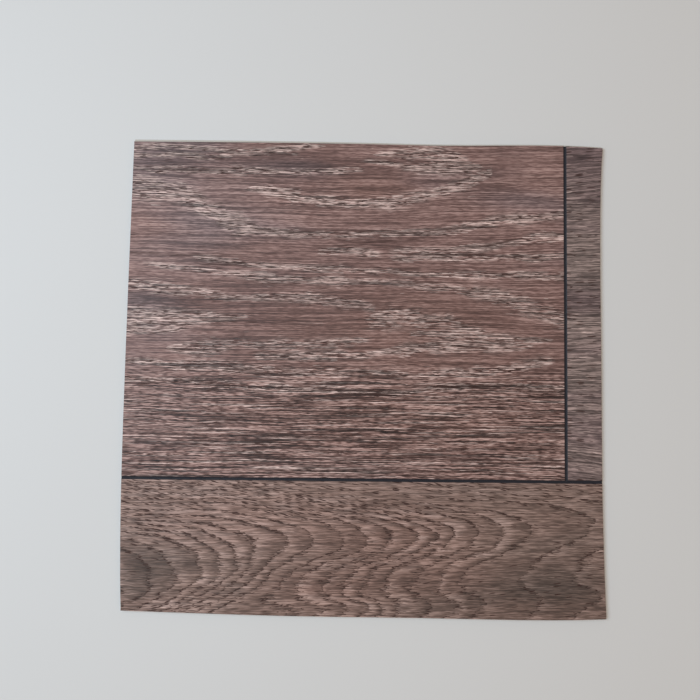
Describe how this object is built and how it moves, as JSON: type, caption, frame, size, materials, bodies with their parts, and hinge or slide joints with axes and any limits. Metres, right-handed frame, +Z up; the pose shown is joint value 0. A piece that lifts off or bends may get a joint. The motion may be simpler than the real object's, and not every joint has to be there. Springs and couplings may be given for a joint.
{
  "type": "sheet vinyl flooring sample",
  "caption": "Thin square of cushioned sheet vinyl flooring, cut from the roll, its face printed and embossed as greyed wood boards with sunken joint lines.",
  "frame": {"origin": "middle of the bounding box, on the side that lies on the floor", "axes": "+Z up out of the printed face, +X along the printed boards, +Y across them"},
  "size_m": [0.202, 0.2006, 0.002],
  "materials": {
    "vinyl": "wood print under a clear matt wear layer with a light emboss"
  },
  "bodies": {
    "root": {"vinyl_sheet": "vinyl"}
  },
  "joints": []
}
